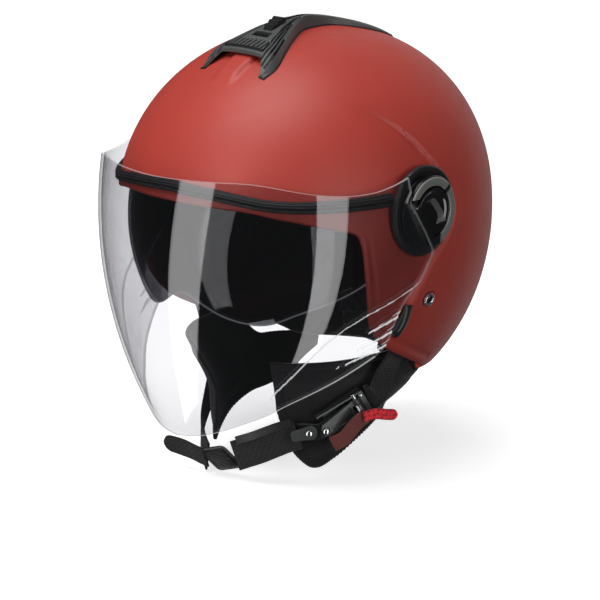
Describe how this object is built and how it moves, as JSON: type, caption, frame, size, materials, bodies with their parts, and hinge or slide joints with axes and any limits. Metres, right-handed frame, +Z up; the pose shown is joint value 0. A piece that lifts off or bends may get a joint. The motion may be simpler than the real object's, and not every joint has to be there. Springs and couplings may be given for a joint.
{
  "type": "motorcycle helmet",
  "caption": "Open-face motorcycle helmet with a long clear visor on side pivots, a drop-down sun visor, a crown vent and a ratchet chin strap.",
  "frame": {"origin": "middle of the visor's pivot axis, between the two side hubs, where a head holds the helmet", "axes": "+Z up, -Y the way the helmet faces, +X towards the wearer's left"},
  "size_m": [0.2568, 0.2986, 0.3279],
  "materials": {
    "shell_red": "matte",
    "foam_black": "matte",
    "liner_black": "matte",
    "rubber_black": "matte",
    "satin_black": "satin",
    "gloss_black": "gloss",
    "satin_grey": "satin",
    "vent_grey": "satin",
    "clear_lens": "gloss",
    "smoke_lens": "gloss",
    "webbing": "matte",
    "buckle_metal": "satin",
    "chrome": "polished",
    "ribbon_maroon": "matte",
    "loop_red": "matte"
  },
  "bodies": {
    "helmet": {"outer_shell": "shell_red", "eps_liner": "foam_black", "crown_liner": "liner_black", "cheek_pad_left": "liner_black", "cheek_pad_right": "liner_black", "neck_roll": "liner_black", "strap_pad_left": "liner_black", "strap_pad_right": "liner_black", "brow_seal": "rubber_black", "side_stop_left": "satin_black", "side_stop_right": "satin_black", "pivot_base_left": "satin_black", "pivot_base_right": "satin_black", "pivot_pin_left": "buckle_metal", "pivot_pin_right": "buckle_metal", "sun_visor_pivot_left": "buckle_metal", "sun_visor_pivot_right": "buckle_metal", "vent_cover": "vent_grey", "strap_rivet_left": "chrome", "strap_rivet_right": "chrome", "strap_left": "webbing", "strap_right": "webbing", "buckle_body": "buckle_metal", "lever_pin": "chrome", "lever_spring": "chrome"},
    "visor": {"visor": "clear_lens", "hub_cover_left": "gloss_black", "hub_cover_right": "gloss_black", "hub_arc_left": "satin_grey", "hub_arc_right": "satin_grey"},
    "sun_visor": {"sun_visor": "smoke_lens"},
    "slider": {"slider_knob": "satin_black", "slider_carrier": "satin_black"},
    "vent_shutter": {"vent_shutter": "satin_black"},
    "strap_end": {"ratchet_strip": "satin_black", "chin_webbing": "webbing", "strap_ring": "satin_black", "strap_tail": "webbing", "end_fitting": "buckle_metal", "fitting_rivet": "chrome"},
    "lever": {"buckle_lever": "buckle_metal", "lever_rivet": "chrome", "pull_ribbon": "ribbon_maroon", "pull_loop": "loop_red"}
  },
  "joints": [
    {"name": "visor_hinge", "type": "hinge", "parent": "helmet", "child": "visor", "pos_m": [0, 0, 0], "axis": [-1, 0, 0], "range_deg": [0, 70]},
    {"name": "sun_visor_hinge", "type": "hinge", "parent": "helmet", "child": "sun_visor", "pos_m": [0, 0, -0.018], "axis": [-1, 0, 0], "range_deg": [0, 40]},
    {"name": "slider_travel", "type": "hinge", "parent": "helmet", "child": "slider", "pos_m": [0, 0.0065, 0.038], "axis": [-1, 0, 0], "range_deg": [0, 18.4]},
    {"name": "vent_shutter_slide", "type": "slide", "parent": "helmet", "child": "vent_shutter", "axis": [0, -0.9641, -0.2656], "range_m": [0, 0.003]},
    {"name": "strap_ratchet", "type": "slide", "parent": "helmet", "child": "strap_end", "axis": [0.416, 0.7489, 0.5159], "range_m": [0, 0.003]},
    {"name": "lever_hinge", "type": "hinge", "parent": "helmet", "child": "lever", "pos_m": [0.07608, -0.01441, -0.14613], "axis": [-0.1796, -0.4885, 0.8539], "range_deg": [0, 26], "stiffness_Nm_per_rad": 0.02, "springref_deg": -20.05}
  ],
  "couplings": [
    {"joint": "slider_travel", "follows": "sun_visor_hinge", "ratio": 0.46}
  ]
}
